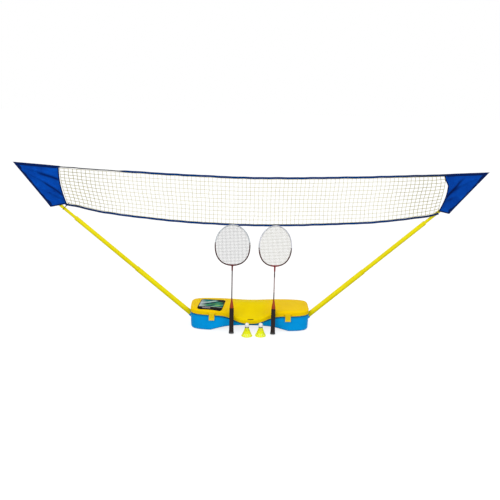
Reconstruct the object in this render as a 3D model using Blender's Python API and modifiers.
"""Free-standing badminton net set: a two-part carrying case that doubles as the foot,
two telescopic poles leaning out of its ends, a net with fabric end panels, two rackets
and two shuttlecocks. Metres, +Z up, the floor at z = 0, origin under the middle of the set.
"""
import math

import bmesh
import bpy
from mathutils import Matrix, Vector

# Clearances
GAP = 0.0003                    # between pieces that touch
RUN = 0.0004                    # between pieces that turn or slide

# Case: plan outline, a rounded rectangle with a waist at the back
CASE_HALF_LENGTH = 0.374
CASE_HALF_DEPTH = 0.1315
CASE_MID_Y = 0.0115
FRONT_SQUARENESS = 5.0          # exponent of the rounded rectangle at the front corners
REAR_SQUARENESS = 7.0
REAR_WAIST = 0.025
WAIST_SPREAD = 0.13
FRONT_VALLEY = 0.006            # shallow S-curve beside the front lobes
VALLEY_X = 0.15
VALLEY_SPREAD = 0.05
OUTLINE_POINTS = 44
SPINE_SHARE = 0.75              # the rows of faces close in on a line this share of the length

# Case: heights
CASE_WALL = 0.0028
RIM_HEIGHT = 0.110              # joint line between tub and lid
RIM_SWEEP = 0.004               # the joint line rises towards the ends
FRONT_DIP = 0.054               # and dips at the middle of the front
DIP_SPREAD = 0.120
DIP_SHARPNESS = 2.5
DIP_START_Y = 0.06
ARCH_HEIGHT = 0.044             # the tub arches clear of the floor between its lobes
ARCH_HALF_SPAN = 0.245
LID_RISE = 0.025
LID_CROWN = 0.002
LID_SHOULDER = 0.028            # width of the rounded border of the lid
LID_GAP = 0.0006
TUB_DRAFT = 0.003
TUB_FOOT_RADIUS = 0.014

# Hinges at the back of the case
HINGE_SHARE = 0.535             # of the half length
HINGE_OFFSET = 0.0085           # axis behind the rear wall
BARREL_RADIUS = 0.0058
BARREL_LENGTH = 0.026           # lid barrel; the tub has one of half the length at each side
BARREL_SIDES = 14
HINGE_PIN_RADIUS = 0.0020
HINGE_ARM = 0.0050

# Latches on the front of the lid
LATCH_SHARE = 0.635             # of the half length
LATCH_WIDTH = 0.034
LATCH_DROP = 0.036
LATCH_THICKNESS = 0.0030
LATCH_BARREL_RADIUS = 0.0036
LATCH_PIN_RADIUS = 0.0015
LATCH_STANDOFF = 0.0060         # pin axis in front of the lid's wall
LATCH_PIN_RISE = 0.0065         # pin axis above the joint line
EAR_WIDTH = 0.0050
CATCH_DEPTH = 0.0030
CATCH_HEIGHT = 0.0035
LATCH_RIB = 0.0014

# Label panel on the left of the lid
LABEL_SHARE = 0.646             # of the half length
LABEL_Y = -0.008
LABEL_SIZE = (0.142, 0.182)
LABEL_CORNER = 0.022
LABEL_THICKNESS = 0.0006
LABEL_LIFT = 0.0004             # film of adhesive under the label

# Thumb groove at the front of the lid
GROOVE_SIZE = (0.040, 0.007)
GROOVE_DEPTH = 0.0012
GROOVE_Y = -0.082

# Telescopic poles
POLE_ROOT_Z = 0.0725            # pole axis at the case's end wall
POLE_LEAN = {"left": 40.5, "right": 41.65}     # degrees above the floor
TOP_END = {"left": 1.226, "right": 1.302}      # up the pole from the end wall, inside the panel's outer edge
LOWER_RADIUS = 0.0160
MID_RADIUS = 0.0135
TOP_RADIUS = 0.0092
LOWER_WALL = 0.0016
MID_WALL = 0.0014
TOP_WALL = 0.0012
LOWER_VISIBLE = 0.446
MID_VISIBLE = 0.486
OVERLAP = 0.070                 # tube length held inside the next tube
SOCKET_INSIDE = 0.062
SOCKET_OUTSIDE = 0.004
SOCKET_WALL = 0.0022
SOCKET_DRAIN = 0.006            # radius of the hole in the socket's floor
SOCKET_SIDES = 20
POLE_SIDES = 18
FERRULE_LENGTH = 0.018
FERRULE_LIP = 0.0025
BUSH_LENGTH = 0.016
CAP_LENGTH = 0.014

# Net
NET_Y = -0.0175                 # the net hangs just in front of the poles
NET_HALF_LENGTH = 1.160
NET_END_GAP = 0.0030            # between the last cord and the panel's bound edge
TOP_EDGE_Z = 0.951              # at the middle of the net
TOP_EDGE_RISE = 0.0425          # towards the ends
TOP_EDGE_POWER = 1.5
BOTTOM_EDGE_Z = 0.658
BOTTOM_EDGE_RISE = 0.102
BOTTOM_EDGE_POWER = 2.0
TAPE_WIDTH = 0.013
TAPE_THICKNESS = 0.0022
TAPE_STEPS = 24
NET_COLUMNS = 34
NET_ROWS = 5
CORD_WIDTH = 0.0034
CORD_THICKNESS = 0.0016

# Fabric end panels, (distance from the middle, height) of each corner; the right one hangs narrower
PANEL_CORNERS = {               # tip, top inner, bottom inner, bottom outer
    "left": ((1.434, 1.012), (1.174, 0.995), (1.147, 0.772), (1.229, 0.751)),
    "right": ((1.424, 1.010), (1.168, 0.995), (1.151, 0.772), (1.211, 0.759)),
}
PANEL_BOW = {"left": 0.012, "right": 0.028}    # the inner edge bows outwards
PANEL_THICKNESS = 0.0016
PANEL_COLUMNS = 10
PANEL_ROWS = 9
PANEL_LEAD_START = 0.72         # share of the width where the cloth starts to come forward
HEM_LEAD = 0.0024               # the lower hem stands clear of the pole
HEM_START = 0.88                # share of the height where it starts to
FOLD_DEPTH = 0.0050
FOLD_SPREAD = 0.09
FOLD_CLEAR = 0.030              # folds fade out this near the pole
SLEEVE_WALL = 0.0012
SLEEVE_ABOVE_CORNER = 0.018     # along the pole, above the panel's lower outer corner
EDGING_RADIUS = 0.0026
EDGING_STEPS = 5
TIE_RADIUS = 0.0013
TIE_STEPS = 14

# Rackets
RACKET_LENGTH = 0.675
HEAD_WIDTH = 0.222
HEAD_LENGTH = 0.256
HEAD_POINTS = 32
FRAME_RADIUS = 0.0047
HEAD_EGG = 0.03                 # the head is a little wider above its middle
STRING_GAPS = (6, 7)                # counted from edge to edge of the head
STRING_WIDTH = 0.0016
STRING_THICKNESS = 0.0010
TEE_LENGTH = 0.030
TEE_RADIUS = 0.0052
SHAFT_RADIUS = 0.0036
CONE_LENGTH = 0.058
GRIP_LENGTH = 0.158
GRIP_RADIUS = 0.0135
BUTT_LENGTH = 0.012
BUTT_RADIUS = 0.0160
RACKET_FOOT_Y = -0.170
RACKET_PLACES = {               # foot x, head x, turn about the handle in degrees, gap to the lower tape
    "left": (-0.113, -0.116, 0.0, 0.0004),
    "right": (0.143, 0.150, 18.0, 0.0083),
}

# Shuttlecocks, standing on their skirts
CORK_RADIUS = 0.0130
CORK_HEIGHT = 0.0250
BAND_HEIGHT = 0.0050
SKIRT_TOP_RADIUS = 0.0120
SKIRT_RADIUS = 0.0330
SKIRT_HEIGHT = 0.0560
SKIRT_WALL = 0.0012
SKIRT_SCALLOPS = 12
SKIRT_FLUTE = 0.0016
SHUTTLE_PLACES = {"left": (-0.017, -0.192), "right": (0.067, -0.186)}

# Materials: colour, roughness, metallic
FINISHES = {
    "yellow_plastic": ((0.87, 0.60, 0.01), 0.42, 0.0),
    "blue_plastic": ((0.0, 0.26, 0.80), 0.40, 0.0),
    "yellow_tube": ((0.90, 0.76, 0.02), 0.38, 0.0),
    "steel": ((0.60, 0.61, 0.63), 0.30, 1.0),
    "black_plastic": ((0.03, 0.03, 0.03), 0.50, 0.0),
    "label_film": ((0.05, 0.12, 0.13), 0.35, 0.0),
    "navy_tape": ((0.01, 0.03, 0.14), 0.80, 0.0),
    "cream_cord": ((0.78, 0.74, 0.58), 0.85, 0.0),
    "blue_fabric": ((0.01, 0.07, 0.42), 0.75, 0.0),
    "black_cord": ((0.02, 0.02, 0.02), 0.80, 0.0),
    "maroon_frame": ((0.22, 0.04, 0.03), 0.35, 0.4),
    "red_plastic": ((0.55, 0.05, 0.03), 0.40, 0.0),
    "shaft_metal": ((0.25, 0.22, 0.22), 0.32, 0.8),
    "string": ((0.80, 0.80, 0.80), 0.50, 0.0),
    "brown_cone": ((0.28, 0.07, 0.04), 0.45, 0.0),
    "black_grip": ((0.03, 0.03, 0.03), 0.70, 0.0),
    "white_cork": ((0.90, 0.89, 0.86), 0.60, 0.0),
    "olive_band": ((0.10, 0.13, 0.03), 0.60, 0.0),
    "neon_skirt": ((0.80, 0.92, 0.02), 0.45, 0.0),
}

SIDES = {"left": -1, "right": 1}

# Derived values
REAR_Y = CASE_MID_Y + CASE_HALF_DEPTH
HINGE_Y = REAR_Y + HINGE_OFFSET
SPINE_HALF = CASE_HALF_LENGTH * SPINE_SHARE
HINGE_X = CASE_HALF_LENGTH * HINGE_SHARE
HINGE_Z = RIM_HEIGHT
LATCH_X = CASE_HALF_LENGTH * LATCH_SHARE
SHUTTLE_FRONT_Y = min(place[1] for place in SHUTTLE_PLACES.values()) - SKIRT_RADIUS
CENTRE_Y = -(SHUTTLE_FRONT_Y + HINGE_Y + BARREL_RADIUS) / 2
POLE_ROOT = Vector((CASE_HALF_LENGTH, POLE_ROOT_Z))
MID_START = LOWER_VISIBLE - OVERLAP
MID_END = LOWER_VISIBLE + MID_VISIBLE
TOP_START = MID_END - OVERLAP
LABEL_X = -CASE_HALF_LENGTH * LABEL_SHARE


# Scene, materials and small modelling helpers

def clear_scene():
    for old in list(bpy.data.objects):
        bpy.data.objects.remove(old, do_unlink=True)


def new_collection(name):
    group = bpy.data.collections.new(name)
    bpy.context.scene.collection.children.link(group)
    return group


def make_materials():
    made = {}
    for name, (colour, roughness, metallic) in FINISHES.items():
        material = bpy.data.materials.new(name)
        material.use_nodes = True
        shader = material.node_tree.nodes["Principled BSDF"]
        shader.inputs["Base Color"].default_value = (*colour, 1.0)
        shader.inputs["Roughness"].default_value = roughness
        shader.inputs["Metallic"].default_value = metallic
        material.diffuse_color = (*colour, 1.0)
        made[name] = material
    return made


def add_empty(name, place, rotation=(0.0, 0.0, 0.0), parent=None):
    empty = bpy.data.objects.new(name, None)
    empty.location = place
    empty.rotation_euler = rotation
    empty.empty_display_size = 0.05
    empty.parent = parent
    PART.objects.link(empty)
    return empty


def add_mesh(name, bm, material, parent, place=(0.0, 0.0, 0.0), rotation=(0.0, 0.0, 0.0), smooth=30):
    """Turn a bmesh into a named object under its parent."""
    mesh = bpy.data.meshes.new(name)
    bm.to_mesh(mesh)
    bm.free()
    if smooth:
        mesh.shade_smooth()
        mesh.set_sharp_from_angle(angle=math.radians(smooth))
    piece = bpy.data.objects.new(name, mesh)
    piece.parent = parent
    piece.location = place
    piece.rotation_euler = rotation
    if material:
        mesh.materials.append(MATERIALS[material])
        PART.objects.link(piece)
    else:
        piece.display_type = "WIRE"
        piece.hide_render = True
        CUTTERS.objects.link(piece)
    return piece


def turned(name, profile, material, parent, place=(0.0, 0.0, 0.0), rotation=(0.0, 0.0, 0.0),
           steps=24, ring=False):
    """A profile of (radius, height) points, outer side first from the top down, spun about Z."""
    mesh = bpy.data.meshes.new(name)
    points = [(radius, 0.0, height) for radius, height in profile]
    edges = [(i, i + 1) for i in range(len(points) - 1)]
    if ring:
        edges.append((len(points) - 1, 0))
    mesh.from_pydata(points, edges, [])
    piece = bpy.data.objects.new(name, mesh)
    piece.parent = parent
    piece.location = place
    piece.rotation_euler = rotation
    spin = piece.modifiers.new("Spin", "SCREW")
    spin.axis = "Z"
    spin.steps = steps
    spin.render_steps = steps
    spin.use_merge_vertices = True
    spin.merge_threshold = 0.0001
    spin.use_smooth_shade = True
    if material:
        mesh.materials.append(MATERIALS[material])
        PART.objects.link(piece)
    else:
        piece.display_type = "WIRE"
        piece.hide_render = True
        CUTTERS.objects.link(piece)
    return piece


def tube_profile(outer, inner, low, high):
    return [(outer, high), (outer, low), (inner, low), (inner, high)]


def box_mesh(size, centre=(0.0, 0.0, 0.0)):
    bm = bmesh.new()
    bmesh.ops.create_cube(bm, size=1.0)
    bmesh.ops.scale(bm, vec=size, verts=bm.verts)
    bmesh.ops.translate(bm, vec=centre, verts=bm.verts)
    return bm


def rod_mesh(radius, length, sides=20, centre=(0.0, 0.0, 0.0)):
    """A cylinder along X."""
    bm = bmesh.new()
    bmesh.ops.create_cone(bm, cap_ends=True, segments=sides, radius1=radius, radius2=radius, depth=length)
    bmesh.ops.rotate(bm, matrix=Matrix.Rotation(math.pi / 2, 3, "Y"), verts=bm.verts)
    bmesh.ops.translate(bm, vec=centre, verts=bm.verts)
    return bm


def boolean(piece, cutter, operation="DIFFERENCE"):
    step = piece.modifiers.new(operation.title(), "BOOLEAN")
    step.operation = operation
    step.object = cutter
    step.solver = "EXACT"
    return step


def cut(piece, bm, name, parent, place=(0.0, 0.0, 0.0), rotation=(0.0, 0.0, 0.0)):
    boolean(piece, add_mesh(name, bm, None, parent, place, rotation, smooth=0))


def join(piece, bm, name, parent, place=(0.0, 0.0, 0.0), rotation=(0.0, 0.0, 0.0)):
    boolean(piece, add_mesh(name, bm, None, parent, place, rotation, smooth=0), "UNION")


def path_tube(name, points, radius, material, parent, cyclic=False, resolution=2):
    """A round cord or rail through the points."""
    data = bpy.data.curves.new(name, "CURVE")
    data.dimensions = "3D"
    data.bevel_depth = radius
    data.bevel_resolution = resolution
    data.use_fill_caps = True
    spline = data.splines.new("POLY")
    spline.points.add(len(points) - 1)
    for target, point in zip(spline.points, points):
        target.co = (*point, 1.0)
    spline.use_cyclic_u = cyclic
    data.materials.append(MATERIALS[material])
    piece = bpy.data.objects.new(name, data)
    piece.parent = parent
    PART.objects.link(piece)
    return piece


# The case's plan and heights

def bell(value, spread, power=2.0):
    return math.exp(-abs(value / spread) ** power)


def front_edge(x):
    share = max(0.0, 1.0 - abs(x / CASE_HALF_LENGTH) ** FRONT_SQUARENESS) ** (1 / FRONT_SQUARENESS)
    valley = FRONT_VALLEY * bell(abs(x) - VALLEY_X, VALLEY_SPREAD)
    return CASE_MID_Y - CASE_HALF_DEPTH * share + valley


def rear_edge(x):
    share = max(0.0, 1.0 - abs(x / CASE_HALF_LENGTH) ** REAR_SQUARENESS) ** (1 / REAR_SQUARENESS)
    return CASE_MID_Y + CASE_HALF_DEPTH * share - REAR_WAIST * bell(x, WAIST_SPREAD)


def case_outline():
    """Points round the plan, anticlockwise from the right-hand end."""
    points = []
    for index in range(OUTLINE_POINTS):
        angle = 2 * math.pi * (index + 0.5) / OUTLINE_POINTS
        power = REAR_SQUARENESS if math.sin(angle) > 0 else FRONT_SQUARENESS
        reach = (abs(math.cos(angle)) ** power + abs(math.sin(angle)) ** power) ** (-1 / power)
        x = CASE_HALF_LENGTH * reach * math.cos(angle)
        points.append(Vector((x, rear_edge(x) if math.sin(angle) > 0 else front_edge(x))))
    return points


def inset_outline(points, distance):
    """The outline moved inwards by a distance along its own normals."""
    moved = []
    count = len(points)
    for index, point in enumerate(points):
        along = (points[(index + 1) % count] - points[index - 1]).normalized()
        moved.append(point + Vector((-along.y, along.x)) * distance)
    return moved


def towards_spine(points, share):
    """The outline drawn in towards a straight line along the middle of the case."""
    drawn = []
    for point in points:
        spine = Vector((max(-SPINE_HALF, min(SPINE_HALF, point.x)), CASE_MID_Y))
        drawn.append(point.lerp(spine, share))
    return drawn


def front_share(y):
    """0 at the back of the case, rising smoothly to 1 at its front."""
    front = CASE_MID_Y - CASE_HALF_DEPTH
    share = min(1.0, max(0.0, (DIP_START_Y - y) / (DIP_START_Y - front)))
    return share * share * (3 - 2 * share)


def dip(x, y):
    return FRONT_DIP * bell(x, DIP_SPREAD, DIP_SHARPNESS) * front_share(y)


def rim_z(x, y):
    return RIM_HEIGHT + RIM_SWEEP * abs(x / CASE_HALF_LENGTH) ** 4 - dip(x, y)


def floor_z(x):
    return ARCH_HEIGHT * max(0.0, 1.0 - (x / ARCH_HALF_SPAN) ** 2)


def lid_top_z(x, y):
    across = (y - CASE_MID_Y) / CASE_HALF_DEPTH
    return RIM_HEIGHT + LID_RISE + LID_CROWN * (1 - across * across) - dip(x, y)


def skin(rows):
    """An open surface through rows of points, closed across the middle of the last row."""
    bm = bmesh.new()
    rings = [[bm.verts.new(point) for point in row] for row in rows]
    for upper, lower in zip(rings, rings[1:]):
        for index in range(OUTLINE_POINTS):
            after = (index + 1) % OUTLINE_POINTS
            bm.faces.new((upper[index], upper[after], lower[after], lower[index]))
    last = rings[-1]
    half = OUTLINE_POINTS // 2
    for index in range(half - 1):
        across = OUTLINE_POINTS - 1 - index
        bm.faces.new((last[index], last[index + 1], last[across - 1], last[across]))
    return bm


def add_shell(name, bm, thickness, material, parent):
    piece = add_mesh(name, bm, material, parent)
    wall = piece.modifiers.new("Wall", "SOLIDIFY")
    wall.thickness = thickness
    wall.offset = -1.0
    wall.use_even_offset = True
    wall.use_quality_normals = True
    return piece


def make_tub(frame):
    outline = case_outline()

    def row(inset, height):
        return [(p.x, p.y, height(p)) for p in inset_outline(outline, inset)]

    rows = [
        row(0.0, lambda p: rim_z(p.x, p.y)),
        row(TUB_DRAFT * 0.5, lambda p: (rim_z(p.x, p.y) + floor_z(p.x)) / 2),
        row(TUB_DRAFT, lambda p: floor_z(p.x) + min(TUB_FOOT_RADIUS, (rim_z(p.x, p.y) - floor_z(p.x)) * 0.3)),
        row(TUB_DRAFT + TUB_FOOT_RADIUS * 0.35, lambda p: floor_z(p.x) + TUB_FOOT_RADIUS * 0.18),
        row(TUB_DRAFT + TUB_FOOT_RADIUS, lambda p: floor_z(p.x)),
    ]
    inner = inset_outline(outline, TUB_DRAFT + TUB_FOOT_RADIUS)
    rows.append([(p.x, p.y, floor_z(p.x)) for p in towards_spine(inner, 0.8)])
    bm = skin([list(reversed(r)) for r in rows])
    tub = add_shell("tub", bm, CASE_WALL, "blue_plastic", frame)
    for side, sign in SIDES.items():
        add_tub_knuckles(tub, side, sign, frame)
        add_catch(tub, side, sign, frame)
    return tub


def add_tub_knuckles(tub, side, sign, frame):
    """Two short barrels a side, on arms from the rear wall, with a bore for the pin."""
    shift = (BARREL_LENGTH + BARREL_LENGTH / 2) / 2 + RUN
    outer = HINGE_Y - (HINGE_PIN_RADIUS + BARREL_RADIUS) / 2
    for place in (-1, 1):
        x = sign * HINGE_X + place * shift
        inner = rear_edge(x) - CASE_WALL / 2
        join(tub, rod_mesh(BARREL_RADIUS, BARREL_LENGTH / 2, BARREL_SIDES, (x, HINGE_Y, HINGE_Z)),
             f"cut_tub_barrel_{side}_{place}", frame)
        size = (BARREL_LENGTH / 2, outer - inner, HINGE_ARM)
        centre = (x, (outer + inner) / 2, HINGE_Z - BARREL_RADIUS + HINGE_ARM / 2)
        join(tub, box_mesh(size, centre), f"cut_tub_arm_{side}_{place}", frame)
    bore = rod_mesh(HINGE_PIN_RADIUS + GAP, BARREL_LENGTH * 3, BARREL_SIDES,
                    (sign * HINGE_X, HINGE_Y, HINGE_Z))
    cut(tub, bore, f"cut_tub_bore_{side}", frame)


def latch_wall_y():
    return front_edge(LATCH_X)


def add_catch(tub, side, sign, frame):
    """A small rib under the joint line that the latch snaps past."""
    low = rim_z(LATCH_X, latch_wall_y()) + LATCH_PIN_RISE - LATCH_DROP + CATCH_HEIGHT + 2 * GAP + 0.0035
    depth = CATCH_DEPTH + CASE_WALL
    size = (LATCH_WIDTH * 0.7, depth, CATCH_HEIGHT)
    centre = (sign * LATCH_X, latch_wall_y() - CATCH_DEPTH + depth / 2, low + CATCH_HEIGHT / 2)
    join(tub, box_mesh(size, centre), f"cut_catch_{side}", frame)


def lid_skin(lift=0.0):
    """The lid's outer surface, or the same surface lifted by a small distance."""
    outline = case_outline()

    def row(inset, height):
        return [(p.x, p.y, height(p) + lift) for p in inset_outline(outline, inset)]

    rows = [
        row(0.0, lambda p: rim_z(p.x, p.y) + LID_GAP),
        row(0.0, lambda p: rim_z(p.x, p.y) + LID_RISE * 0.45),
        row(LID_SHOULDER * 0.14, lambda p: rim_z(p.x, p.y) + LID_RISE * 0.74),
        row(LID_SHOULDER * 0.50, lambda p: lid_top_z(p.x, p.y) - LID_RISE * 0.09),
        row(LID_SHOULDER, lambda p: lid_top_z(p.x, p.y)),
    ]
    inner = inset_outline(outline, LID_SHOULDER)
    for share in (0.25, 0.55, 0.85):
        rows.append([(p.x, p.y, lid_top_z(p.x, p.y) + lift) for p in towards_spine(inner, share)])
    bm = skin(rows)
    bmesh.ops.triangulate(bm, faces=bm.faces[:], quad_method="FIXED")
    return bm


def make_lid(frame):
    lid = add_shell("lid", lid_skin(), CASE_WALL, "yellow_plastic", frame)
    for side, sign in SIDES.items():
        add_lid_knuckle(lid, side, sign, frame)
        add_latch_ears(lid, side, sign, frame)
    width, depth = GROOVE_SIZE
    above = LID_RISE
    groove = box_mesh((width, depth, GROOVE_DEPTH + above), (0.0, 0.0, (above - GROOVE_DEPTH) / 2))
    slope = math.atan2(lid_top_z(0, GROOVE_Y + depth) - lid_top_z(0, GROOVE_Y - depth), 2 * depth)
    cut(lid, groove, "cut_groove", frame, (0.0, GROOVE_Y, lid_top_z(0, GROOVE_Y)), (slope, 0.0, 0.0))
    return lid


def add_lid_knuckle(lid, side, sign, frame):
    x = sign * HINGE_X
    inner = rear_edge(x) - CASE_WALL / 2
    join(lid, rod_mesh(BARREL_RADIUS, BARREL_LENGTH, BARREL_SIDES, (x, HINGE_Y, HINGE_Z)),
         f"cut_lid_barrel_{side}", frame)
    outer = HINGE_Y - (HINGE_PIN_RADIUS + BARREL_RADIUS) / 2
    size = (BARREL_LENGTH, outer - inner, HINGE_ARM)
    centre = (x, (outer + inner) / 2, HINGE_Z + BARREL_RADIUS - HINGE_ARM / 2)
    join(lid, box_mesh(size, centre), f"cut_lid_arm_{side}", frame)
    bore = rod_mesh(HINGE_PIN_RADIUS + GAP, BARREL_LENGTH * 2, BARREL_SIDES, (x, HINGE_Y, HINGE_Z))
    cut(lid, bore, f"cut_lid_bore_{side}", frame)


def latch_axis(sign):
    y = latch_wall_y()
    return Vector((sign * LATCH_X, y - LATCH_STANDOFF, rim_z(LATCH_X, y) + LATCH_PIN_RISE))


def add_latch_ears(lid, side, sign, frame):
    axis = latch_axis(sign)
    shift = (LATCH_WIDTH + EAR_WIDTH) / 2 + RUN
    front = axis.y - LATCH_BARREL_RADIUS
    for place in (-1, 1):
        x = axis.x + place * shift
        depth = front_edge(abs(x) + EAR_WIDTH / 2) + CASE_WALL * 0.7 - front
        centre = (x, front + depth / 2, axis.z)
        ear = box_mesh((EAR_WIDTH, depth, LATCH_BARREL_RADIUS * 2.2), centre)
        join(lid, ear, f"cut_ear_{side}_{place}", frame)
    bore = rod_mesh(LATCH_PIN_RADIUS + GAP, LATCH_WIDTH + EAR_WIDTH * 4, 12, axis)
    cut(lid, bore, f"cut_ear_bore_{side}", frame)


def make_hinge_pins(frame):
    length = BARREL_LENGTH * 2 + 4 * RUN
    for side, sign in SIDES.items():
        pin = rod_mesh(HINGE_PIN_RADIUS, length, BARREL_SIDES)
        add_mesh(f"hinge_pin_{side}", pin, "steel", frame, (sign * HINGE_X, HINGE_Y, HINGE_Z))


def make_latch(side, sign, frame):
    """Side profile with a barrel on top, a plate and a lifting lip, drawn out to the latch's width."""
    axis = latch_axis(sign)
    turn = [math.radians(a) for a in range(-60, 181, 30)]
    barrel = [(math.cos(a) * LATCH_BARREL_RADIUS, math.sin(a) * LATCH_BARREL_RADIUS) for a in turn]
    back = barrel[-1][0] + LATCH_THICKNESS
    low = -LATCH_DROP
    rib = CATCH_HEIGHT
    profile = barrel + [
        (-LATCH_BARREL_RADIUS, low + 0.006),
        (-LATCH_BARREL_RADIUS - 0.0035, low),
        (-LATCH_BARREL_RADIUS - 0.0010, low),
        (back, low + 0.003),
        (back + LATCH_RIB, low + 0.003),
        (back + LATCH_RIB, low + 0.003 + rib * 0.6),
        (back, low + 0.003 + rib),
        (back, -LATCH_BARREL_RADIUS * 1.3),
    ]
    bm = bmesh.new()
    verts = [bm.verts.new((-LATCH_WIDTH / 2, y, z)) for y, z in profile]
    face = bm.faces.new(verts)
    drawn = bmesh.ops.extrude_face_region(bm, geom=[face])
    moved = [item for item in drawn["geom"] if isinstance(item, bmesh.types.BMVert)]
    bmesh.ops.translate(bm, vec=(LATCH_WIDTH, 0.0, 0.0), verts=moved)
    bmesh.ops.recalc_face_normals(bm, faces=bm.faces)
    latch = add_mesh(f"latch_{side}", bm, "yellow_plastic", frame, axis)
    bore = rod_mesh(LATCH_PIN_RADIUS + GAP, LATCH_WIDTH * 2, 12)
    cut(latch, bore, f"cut_latch_bore_{side}", frame, axis)
    pin = rod_mesh(LATCH_PIN_RADIUS, LATCH_WIDTH + EAR_WIDTH * 2, 12)
    add_mesh(f"latch_pin_{side}", pin, "steel", frame, axis)


def make_label(frame):
    """A thin plate with round corners, laid on the lid so that it follows its shape."""
    label = add_mesh("label_panel", lid_skin(LABEL_LIFT), "label_film", frame)
    film = label.modifiers.new("Film", "SOLIDIFY")
    film.thickness = LABEL_THICKNESS
    film.offset = 1.0
    width, depth = LABEL_SIZE
    corner_steps = 5
    bm = bmesh.new()
    outline = []
    for quarter, (sx, sy) in enumerate(((1, 1), (-1, 1), (-1, -1), (1, -1))):
        for step in range(corner_steps):
            angle = math.pi / 2 * (quarter + step / (corner_steps - 1))
            x = LABEL_X + sx * (width / 2 - LABEL_CORNER) + LABEL_CORNER * math.cos(angle)
            y = LABEL_Y + sy * (depth / 2 - LABEL_CORNER) + LABEL_CORNER * math.sin(angle)
            outline.append(bm.verts.new((x, y, RIM_HEIGHT)))
    drawn = bmesh.ops.extrude_face_region(bm, geom=[bm.faces.new(outline)])
    moved = [item for item in drawn["geom"] if isinstance(item, bmesh.types.BMVert)]
    bmesh.ops.translate(bm, vec=(0.0, 0.0, LID_RISE * 2), verts=moved)
    bmesh.ops.recalc_face_normals(bm, faces=bm.faces)
    boolean(label, add_mesh("cut_label", bm, None, frame, smooth=0), "INTERSECT")


# Poles

def pole_direction(side):
    lean = math.radians(POLE_LEAN[side])
    return Vector((math.cos(lean), math.sin(lean)))


def along_pole(side, point):
    """How far up the pole, from the case's end wall, a point of the net or panel lies."""
    return (Vector(point) - POLE_ROOT).dot(pole_direction(side))


def beside_pole(side, point):
    """How far a point of the net or panel lies under the pole's axis, square to it."""
    away, along = Vector(point) - POLE_ROOT, pole_direction(side)
    return away.x * along.y - away.y * along.x


def make_pole(side, sign, tub, frame):
    """Everything on one pole's axis: local +Z runs from the case's end wall up to the tip."""
    lean = sign * math.radians(90 - POLE_LEAN[side])
    root = (sign * CASE_HALF_LENGTH, 0.0, POLE_ROOT_Z)
    axis = add_empty(f"pole_axis_{side}", root, (0.0, lean, 0.0), frame)
    bore = LOWER_RADIUS + GAP
    socket_radius = bore + SOCKET_WALL
    turned(f"pole_socket_{side}", [
        (bore, SOCKET_OUTSIDE), (socket_radius, SOCKET_OUTSIDE), (socket_radius, -SOCKET_INSIDE),
        (SOCKET_DRAIN, -SOCKET_INSIDE), (SOCKET_DRAIN, -SOCKET_INSIDE + SOCKET_WALL),
        (bore, -SOCKET_INSIDE + SOCKET_WALL),
    ], "blue_plastic", axis, steps=SOCKET_SIDES, ring=True)
    hole = bmesh.new()
    bmesh.ops.create_cone(hole, cap_ends=True, segments=SOCKET_SIDES, radius1=socket_radius + GAP,
                          radius2=socket_radius + GAP, depth=0.08)
    cut(tub, hole, f"cut_socket_hole_{side}", axis)

    lower_inner = LOWER_RADIUS - LOWER_WALL
    lower_low = -SOCKET_INSIDE + SOCKET_WALL + GAP
    turned(f"pole_lower_{side}", tube_profile(LOWER_RADIUS, lower_inner, lower_low, LOWER_VISIBLE),
           "yellow_tube", axis, steps=POLE_SIDES, ring=True)
    add_ferrule(f"ferrule_lower_{side}", lower_inner, LOWER_RADIUS, MID_RADIUS, LOWER_VISIBLE, axis)

    mid_inner = MID_RADIUS - MID_WALL
    turned(f"pole_mid_{side}", tube_profile(MID_RADIUS, mid_inner, MID_START, MID_END),
           "yellow_tube", axis, steps=POLE_SIDES, ring=True)
    add_bush(f"bush_mid_{side}", lower_inner, MID_RADIUS, MID_START, axis)
    add_ferrule(f"ferrule_mid_{side}", mid_inner, MID_RADIUS, TOP_RADIUS, MID_END, axis)

    top_inner, top_end = TOP_RADIUS - TOP_WALL, TOP_END[side]
    turned(f"pole_top_{side}", tube_profile(TOP_RADIUS, top_inner, TOP_START, top_end - CAP_LENGTH * 0.4),
           "yellow_tube", axis, steps=POLE_SIDES, ring=True)
    add_bush(f"bush_top_{side}", mid_inner, TOP_RADIUS, TOP_START, axis)
    add_cap(f"tip_cap_{side}", top_inner, top_end, axis)
    return axis


def add_ferrule(name, bore, outer, inner, height, axis):
    """A guide ring pressed into a tube's mouth, with a lip over its end."""
    seat = bore - GAP
    hole = inner + RUN
    turned(name, [
        (hole, height + FERRULE_LIP), (outer - 0.001, height + FERRULE_LIP), (outer, height + GAP),
        (seat, height + GAP), (seat, height - FERRULE_LENGTH), (hole, height - FERRULE_LENGTH),
    ], "yellow_plastic", axis, steps=POLE_SIDES, ring=True)


def add_bush(name, bore, tube, height, axis):
    """A collar under a sliding tube's foot that keeps it central in the tube below."""
    outer = bore - RUN
    low = height - BUSH_LENGTH
    turned(name, [
        (tube - 0.0045, height - GAP), (outer, height - GAP), (outer, low), (tube - 0.0045, low),
    ], "black_plastic", axis, steps=POLE_SIDES, ring=True)


def add_cap(name, bore, height, axis):
    """A domed plug in the top tube."""
    stem = bore - GAP
    seat = height - CAP_LENGTH * 0.4 + GAP
    dome = [(math.sin(a) * TOP_RADIUS, seat + 0.001 + math.cos(a) * (height - seat - 0.001))
            for a in [math.pi / 2 * step / 3 for step in range(4)]]
    profile = dome + [(TOP_RADIUS, seat), (stem, seat), (stem, seat - CAP_LENGTH), (0.0, seat - CAP_LENGTH)]
    turned(name, profile, "black_plastic", axis, steps=POLE_SIDES)


# Net

def edge_height(x, middle, rise, power):
    return middle + rise * abs(x / NET_HALF_LENGTH) ** power


def top_edge(x):
    return edge_height(x, TOP_EDGE_Z, TOP_EDGE_RISE, TOP_EDGE_POWER)


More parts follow.
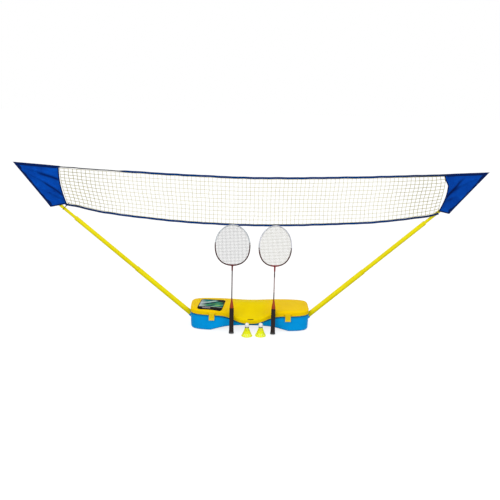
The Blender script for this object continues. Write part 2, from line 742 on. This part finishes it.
def bottom_edge(x):
    return edge_height(x, BOTTOM_EDGE_Z, BOTTOM_EDGE_RISE, BOTTOM_EDGE_POWER)


def net_end_x(side, z):
    """The net's end at a height, just inside the panel's inner edge."""
    top, bottom = PANEL_CORNERS[side][1:3]
    share = min(1.0, max(0.0, (top[1] - z) / (top[1] - bottom[1])))
    edge = top[0] + (bottom[0] - top[0]) * share + PANEL_BOW[side] * math.sin(math.pi * share)
    return edge - 2 * EDGING_RADIUS - NET_END_GAP


def side_of(value):
    return "left" if value < 0 else "right"


def make_tape(name, height, frame):
    """A flat band along one edge of the net, from end to end."""
    bm = bmesh.new()
    bmesh.ops.create_grid(bm, x_segments=TAPE_STEPS, y_segments=1, size=1.0)
    for vert in bm.verts:
        x = vert.co.x * net_end_x(side_of(vert.co.x), height(NET_HALF_LENGTH))
        vert.co = (x, 0.0, height(x) + vert.co.y * TAPE_WIDTH / 2)
    tape = add_mesh(name, bm, "navy_tape", frame, (0.0, NET_Y, 0.0), smooth=0)
    band = tape.modifiers.new("Band", "SOLIDIFY")
    band.thickness = TAPE_THICKNESS
    band.offset = 0.0
    return tape


def lattice(columns, rows, cord):
    """Crossing cords with open cells between them: x and y run from 0 to 1, a cord's width is shared out
    by the caller, so each vertex keeps its line's number and on which side of the line it lies."""
    bm = bmesh.new()
    bmesh.ops.create_grid(bm, x_segments=columns * 2 + 1, y_segments=rows * 2 + 1, size=0.5)
    counts = (columns * 2 + 1, rows * 2 + 1)
    cells = []
    for face in bm.faces:
        place = face.calc_center_median()
        column, row = [int((place[axis] + 0.5) * counts[axis]) for axis in (0, 1)]
        if column % 2 and row % 2:
            cells.append(face)
    bmesh.ops.delete(bm, geom=cells, context="FACES_ONLY")
    for vert in bm.verts:
        for axis, lines in enumerate((columns, rows)):
            step = round((vert.co[axis] + 0.5) * counts[axis])
            line, side = divmod(step, 2)
            vert.co[axis] = line / lines + (side - 0.5) * cord[axis]
    return bm


def make_net(frame):
    """Square meshes between the two tapes."""
    margin = (TAPE_WIDTH + CORD_WIDTH) / 2 + GAP
    reach = net_end_x("left", top_edge(NET_HALF_LENGTH)) - CORD_WIDTH / 2
    height = top_edge(0.0) - bottom_edge(0.0) - 2 * margin
    bm = lattice(NET_COLUMNS, NET_ROWS, (CORD_WIDTH / (2 * reach), CORD_WIDTH / height))
    for vert in bm.verts:
        across, up = vert.co.x * 2 - 1, vert.co.y
        guess = across * NET_HALF_LENGTH
        low, high = bottom_edge(guess) + margin, top_edge(guess) - margin
        end = net_end_x(side_of(across), low + (high - low) * up) - CORD_WIDTH / 2
        x = across * end
        low, high = bottom_edge(x) + margin, top_edge(x) - margin
        vert.co = (x, 0.0, low + (high - low) * up)
    bm.normal_update()
    net = add_mesh("net_mesh", bm, "cream_cord", frame, (0.0, NET_Y, 0.0), smooth=0)
    cord = net.modifiers.new("Cord", "SOLIDIFY")
    cord.thickness = CORD_THICKNESS
    cord.offset = 0.0
    return net


# Fabric end panels

def smooth_step(value):
    share = min(1.0, max(0.0, value))
    return share * share * (3 - 2 * share)


def panel_point(side, u, v):
    """u runs from the outer edge to the inner edge, v from the top down."""
    tip, top, inner, outer = [Vector(corner) for corner in PANEL_CORNERS[side]]
    point = tip.lerp(top, u).lerp(outer.lerp(inner, u), v)
    point.x += PANEL_BOW[side] * math.sin(math.pi * v) * u * u
    return point


def fold(side, u, v):
    """Two shallow folds that run from the tip towards the inner edge."""
    ridges = bell(v - 0.22 - 0.16 * u, FOLD_SPREAD) + bell(v - 0.52 - 0.16 * u, FOLD_SPREAD)
    fade = math.sin(math.pi * u) * smooth_step(abs(beside_pole(side, panel_point(side, u, v))) / FOLD_CLEAR)
    return FOLD_DEPTH * ridges * fade


def panel_y(side, u, v):
    """The fabric lies on the sleeve and comes forward to the net at its inner edge."""
    seat = TOP_RADIUS + GAP + SLEEVE_WALL / 2 + PANEL_THICKNESS / 2
    lead = (-NET_Y - seat) * smooth_step((u - PANEL_LEAD_START) / (1 - PANEL_LEAD_START))
    hem = HEM_LEAD * smooth_step((v - HEM_START) / (1 - HEM_START))
    return -seat - max(lead, hem) - fold(side, u, v)


def make_panel(side, sign, axis, frame):
    """A single cloth with a sleeve for the top tube sewn on its back."""
    bm = bmesh.new()
    bmesh.ops.create_grid(bm, x_segments=PANEL_COLUMNS, y_segments=PANEL_ROWS, size=1.0)
    for vert in bm.verts:
        u, v = (vert.co.x + 1) / 2, (1 - vert.co.y) / 2
        point = panel_point(side, u, v)
        vert.co = (sign * point.x, panel_y(side, u, v), point.y)
    bm.normal_update()
    panel = add_mesh(f"end_panel_{side}", bm, "blue_fabric", frame)
    cloth = panel.modifiers.new("Cloth", "SOLIDIFY")
    cloth.thickness = PANEL_THICKNESS
    cloth.offset = 0.0
    low = along_pole(side, PANEL_CORNERS[side][3]) + SLEEVE_ABOVE_CORNER
    top_end = TOP_END[side] + GAP
    high = top_end + SLEEVE_WALL + GAP
    radius = TOP_RADIUS + GAP + SLEEVE_WALL
    sleeve = bmesh.new()
    bmesh.ops.create_cone(sleeve, cap_ends=True, segments=POLE_SIDES, radius1=radius, radius2=radius,
                          depth=high - low)
    bmesh.ops.translate(sleeve, vec=(0.0, 0.0, (low + high) / 2), verts=sleeve.verts)
    join(panel, sleeve, f"cut_sleeve_{side}", axis)
    bore = bmesh.new()
    bmesh.ops.create_cone(bore, cap_ends=True, segments=POLE_SIDES, radius1=TOP_RADIUS + GAP,
                          radius2=TOP_RADIUS + GAP, depth=top_end - low + 0.02)
    bmesh.ops.translate(bore, vec=(0.0, 0.0, (low - 0.02 + top_end) / 2), verts=bore.verts)
    cut(panel, bore, f"cut_sleeve_bore_{side}", axis)


def make_edging(side, sign, frame):
    """Bound edge all round the panel, just outside the cloth."""
    corners = [(0.0, 0.0), (1.0, 0.0), (1.0, 1.0), (0.0, 1.0)]
    steps = [EDGING_STEPS, EDGING_STEPS * 2, EDGING_STEPS, EDGING_STEPS]
    route = []
    for corner, after, count in zip(corners, corners[1:] + corners[:1], steps):
        for step in range(count):
            route.append(Vector(corner).lerp(Vector(after), step / count))
    flat = [panel_point(side, u, v) for u, v in route]
    reach = EDGING_RADIUS + 2 * GAP
    points = []
    for index, (u, v) in enumerate(route):
        before = (flat[index] - flat[index - 1]).normalized()
        after = (flat[(index + 1) % len(flat)] - flat[index]).normalized()
        out = Vector((before.y + after.y, -before.x - after.x)).normalized()
        slant = out.dot(Vector((before.y, -before.x)))
        moved = flat[index] + out * (reach / slant)
        points.append((sign * moved.x, panel_y(side, u, v), moved.y))
    path_tube(f"panel_edging_{side}", points, EDGING_RADIUS, "navy_tape", frame, cyclic=True, resolution=1)


def make_tie(side, sign, axis):
    """A loose loop from round the pole to behind the end of the lower tape."""
    back = TOP_RADIUS + GAP + TIE_RADIUS
    front = -NET_Y - TAPE_THICKNESS / 2 - GAP - TIE_RADIUS
    radius, centre = (back + front) / 2, (back - front) / 2
    height = bottom_edge(NET_HALF_LENGTH)
    tape_end = (net_end_x(side, height), height)
    along, beside = along_pole(side, tape_end), beside_pole(side, tape_end)
    points = []
    for index in range(TIE_STEPS):
        angle = 2 * math.pi * (index + 0.5) / TIE_STEPS
        reach = min(0.0, beside) if math.cos(angle) < 0 else 0.0
        across = radius * math.cos(angle) + reach
        points.append((sign * across, centre + radius * math.sin(angle), along))
    path_tube(f"tie_loop_{side}", points, TIE_RADIUS, "black_cord", axis, cyclic=True, resolution=1)


# Rackets

def racket_frame(side, place, frame):
    """An empty at the butt, its local +Z up the handle to the head."""
    foot_x, head_x, turn, gap = place
    head_y = NET_Y - TAPE_THICKNESS / 2 - gap - FRAME_RADIUS
    reach = RACKET_LENGTH - FRAME_RADIUS
    lean = math.asin((head_y - RACKET_FOOT_Y) / reach)
    tilt = math.asin((head_x - foot_x) / reach)
    foot_z = BUTT_RADIUS * math.sin(abs(lean)) + GAP
    foot = (foot_x, RACKET_FOOT_Y, foot_z)
    axis = add_empty(f"racket_axis_{side}", foot, (-lean, tilt, math.radians(turn)), frame)
    axis.rotation_mode = "ZXY"
    return axis


def oval(width, length, count, middle):
    """An egg-shaped closed line in the head's plane."""
    points = []
    for index in range(count):
        angle = 2 * math.pi * (index + 0.5) / count
        up = math.cos(angle)
        across = math.sin(angle) * (1 + HEAD_EGG * up)
        points.append((across * width / 2, 0.0, middle + up * length / 2))
    return points


def make_racket(side, place, frame):
    axis = racket_frame(side, place, frame)
    middle = RACKET_LENGTH - HEAD_LENGTH / 2
    rim = 2 * FRAME_RADIUS
    path_tube(f"racket_frame_{side}", oval(HEAD_WIDTH - rim, HEAD_LENGTH - rim, HEAD_POINTS, middle),
              FRAME_RADIUS, "maroon_frame", axis, cyclic=True)
    make_strings(side, axis, middle)

    head_low = RACKET_LENGTH - HEAD_LENGTH - GAP
    tee_low = head_low - TEE_LENGTH
    seat = SHAFT_RADIUS + GAP
    turned(f"racket_tee_{side}", [
        (0.0, head_low), (TEE_RADIUS, head_low), (TEE_RADIUS, head_low - 0.008), (seat + 0.0009, tee_low),
        (seat, tee_low), (seat, head_low - 0.012), (0.0, head_low - 0.012),
    ], "red_plastic", axis, steps=16)
    cone_low, cone_high = GRIP_LENGTH, GRIP_LENGTH + CONE_LENGTH
    shaft = [(0.0, head_low - 0.012 - GAP), (SHAFT_RADIUS, head_low - 0.012 - GAP),
             (SHAFT_RADIUS, cone_low + 0.010), (0.0, cone_low + 0.010)]
    turned(f"racket_shaft_{side}", shaft, "shaft_metal", axis, steps=14)
    turned(f"racket_cone_{side}", [
        (0.0, cone_low + 0.010 - GAP), (seat, cone_low + 0.010 - GAP), (seat, cone_high),
        (seat + 0.0012, cone_high), (GRIP_RADIUS * 0.52, cone_low + CONE_LENGTH * 0.55),
        (GRIP_RADIUS * 0.86, cone_low + CONE_LENGTH * 0.12), (GRIP_RADIUS * 0.90, cone_low + GAP),
        (0.0, cone_low + GAP),
    ], "brown_cone", axis, steps=16)
    turned(f"racket_grip_{side}", [
        (0.0, cone_low), (GRIP_RADIUS * 0.94, cone_low), (GRIP_RADIUS, cone_low - 0.004),
        (GRIP_RADIUS, BUTT_LENGTH + 0.030), (GRIP_RADIUS * 1.08, BUTT_LENGTH + GAP), (0.0, BUTT_LENGTH + GAP),
    ], "black_grip", axis, steps=16)
    turned(f"racket_butt_{side}", [
        (0.0, BUTT_LENGTH), (BUTT_RADIUS * 0.95, BUTT_LENGTH), (BUTT_RADIUS, BUTT_LENGTH * 0.7),
        (BUTT_RADIUS, BUTT_LENGTH * 0.15), (BUTT_RADIUS * 0.93, 0.0), (0.0, 0.0),
    ], "black_plastic", axis, steps=16)


def make_strings(side, axis, middle):
    """A lattice of strings cut to the inside of the frame."""
    inside = 4 * FRAME_RADIUS + 2 * GAP
    width, length = HEAD_WIDTH - inside, HEAD_LENGTH - inside
    spread = 1 + 2 * HEAD_EGG
    bm = lattice(*STRING_GAPS, (STRING_WIDTH / (width * spread), STRING_WIDTH / (length * spread)))
    for vert in bm.verts:
        vert.co = ((vert.co.x - 0.5) * width * spread, 0.0, middle + (vert.co.y - 0.5) * length * spread)
    bm.normal_update()
    strings = add_mesh(f"racket_strings_{side}", bm, "string", axis, smooth=0)
    gut = strings.modifiers.new("Gut", "SOLIDIFY")
    gut.thickness = STRING_THICKNESS
    gut.offset = 0.0
    disc = bmesh.new()
    edge = [disc.verts.new((x, -0.004, z)) for x, _, z in oval(width, length, HEAD_POINTS, middle)]
    face = disc.faces.new(edge)
    drawn = bmesh.ops.extrude_face_region(disc, geom=[face])
    moved = [item for item in drawn["geom"] if isinstance(item, bmesh.types.BMVert)]
    bmesh.ops.translate(disc, vec=(0.0, 0.008, 0.0), verts=moved)
    bmesh.ops.recalc_face_normals(disc, faces=disc.faces)
    cutter = add_mesh(f"cut_strings_{side}", disc, None, axis, smooth=0)
    boolean(strings, cutter, "INTERSECT")


# Shuttlecocks

def make_shuttle(side, place, frame):
    axis = add_empty(f"shuttle_axis_{side}", (*place, 0.0), parent=frame)
    make_skirt(side, axis)
    band_low = SKIRT_HEIGHT + GAP
    band_high = band_low + BAND_HEIGHT
    turned(f"shuttle_band_{side}", [
        (0.0, band_high), (CORK_RADIUS + 0.0003, band_high), (CORK_RADIUS + 0.0003, band_low + 0.001),
        (SKIRT_TOP_RADIUS, band_low), (0.0, band_low),
    ], "olive_band", axis, steps=16)
    low = band_high + GAP
    straight = CORK_HEIGHT - CORK_RADIUS
    dome = [(CORK_RADIUS * math.sin(a), low + straight + CORK_RADIUS * math.cos(a))
            for a in [math.pi / 2 * step / 4 for step in range(5)]]
    foot = [(CORK_RADIUS, low + 0.0008), (CORK_RADIUS - 0.0008, low), (0.0, low)]
    turned(f"shuttle_cork_{side}", dome + foot, "white_cork", axis, steps=16)


def make_skirt(side, axis):
    """A flared, fluted shell, open at the floor and closed under the band."""
    sides = SKIRT_SCALLOPS * 2
    bm = bmesh.new()
    rings = []
    for share in (0.0, 0.45, 1.0):
        height = SKIRT_HEIGHT * share
        radius = SKIRT_RADIUS + (SKIRT_TOP_RADIUS - SKIRT_RADIUS) * share ** 0.85
        flute = SKIRT_FLUTE * (1 - share)
        ring = []
        for index in range(sides):
            angle = 2 * math.pi * index / sides
            reach = radius - (flute if index % 2 else 0.0)
            ring.append(bm.verts.new((reach * math.cos(angle), reach * math.sin(angle), height)))
        rings.append(ring)
    for lower, upper in zip(rings, rings[1:]):
        for index in range(sides):
            after = (index + 1) % sides
            bm.faces.new((lower[index], lower[after], upper[after], upper[index]))
    bm.faces.new(rings[-1])
    bm.normal_update()
    skirt = add_mesh(f"shuttle_skirt_{side}", bm, "neon_skirt", axis, smooth=0)
    wall = skirt.modifiers.new("Wall", "SOLIDIFY")
    wall.thickness = SKIRT_WALL
    wall.offset = -1.0
    wall.use_even_offset = True


def build():
    frame = add_empty("badminton_set", (0.0, CENTRE_Y, 0.0))
    tub = make_tub(frame)
    make_lid(frame)
    make_hinge_pins(frame)
    make_label(frame)
    for side, sign in SIDES.items():
        make_latch(side, sign, frame)
        axis = make_pole(side, sign, tub, frame)
        make_panel(side, sign, axis, frame)
        make_edging(side, sign, frame)
        make_tie(side, sign, axis)
        make_racket(side, RACKET_PLACES[side], frame)
        make_shuttle(side, SHUTTLE_PLACES[side], frame)
    make_tape("net_top_tape", top_edge, frame)
    make_tape("net_bottom_tape", bottom_edge, frame)
    make_net(frame)


clear_scene()
PART = new_collection("badminton_net_set")
CUTTERS = new_collection("cutters")
MATERIALS = make_materials()
build()
bpy.context.view_layer.update()
